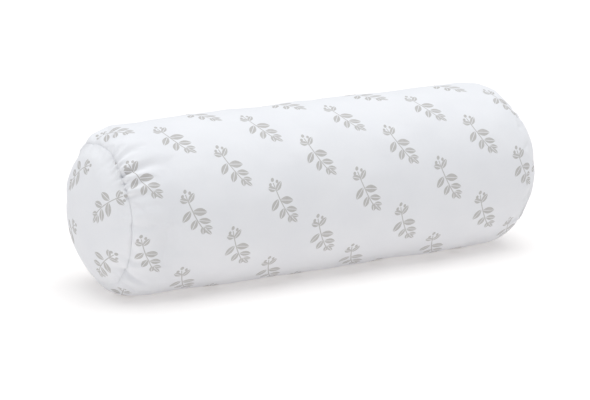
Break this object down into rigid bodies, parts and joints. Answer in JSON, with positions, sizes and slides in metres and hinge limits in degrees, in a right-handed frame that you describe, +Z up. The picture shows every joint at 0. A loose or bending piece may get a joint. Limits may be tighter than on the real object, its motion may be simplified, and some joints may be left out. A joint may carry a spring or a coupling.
{
  "type": "bolster pillow",
  "caption": "Round bolster pillow: printed white cotton casing with domed round end panels sewn to a rolled side panel, filled with loose chopped foam.",
  "frame": {"origin": "middle of the footprint, on the surface that the pillow lies on", "axes": "+X along the pillow towards the right end, +Z up, +Y to the back, where the lengthwise seam is"},
  "size_m": [0.4558, 0.154, 0.1501],
  "materials": {
    "casing_cloth": "matte",
    "sewing_thread": "matte",
    "label_satin": "satin",
    "foam_white": "matte"
  },
  "bodies": {
    "root": {"side_panel": "casing_cloth", "left_end_panel": "casing_cloth", "right_end_panel": "casing_cloth", "left_seam_needle_thread": "sewing_thread", "left_seam_bobbin_thread": "sewing_thread", "right_seam_needle_thread": "sewing_thread", "right_seam_bobbin_thread": "sewing_thread", "long_seam_needle_thread": "sewing_thread", "long_seam_bobbin_thread": "sewing_thread", "closing_stitches": "sewing_thread", "care_label": "label_satin", "foam_pieces_large": "foam_white", "foam_pieces_medium": "foam_white", "foam_pieces_small": "foam_white"}
  },
  "joints": []
}
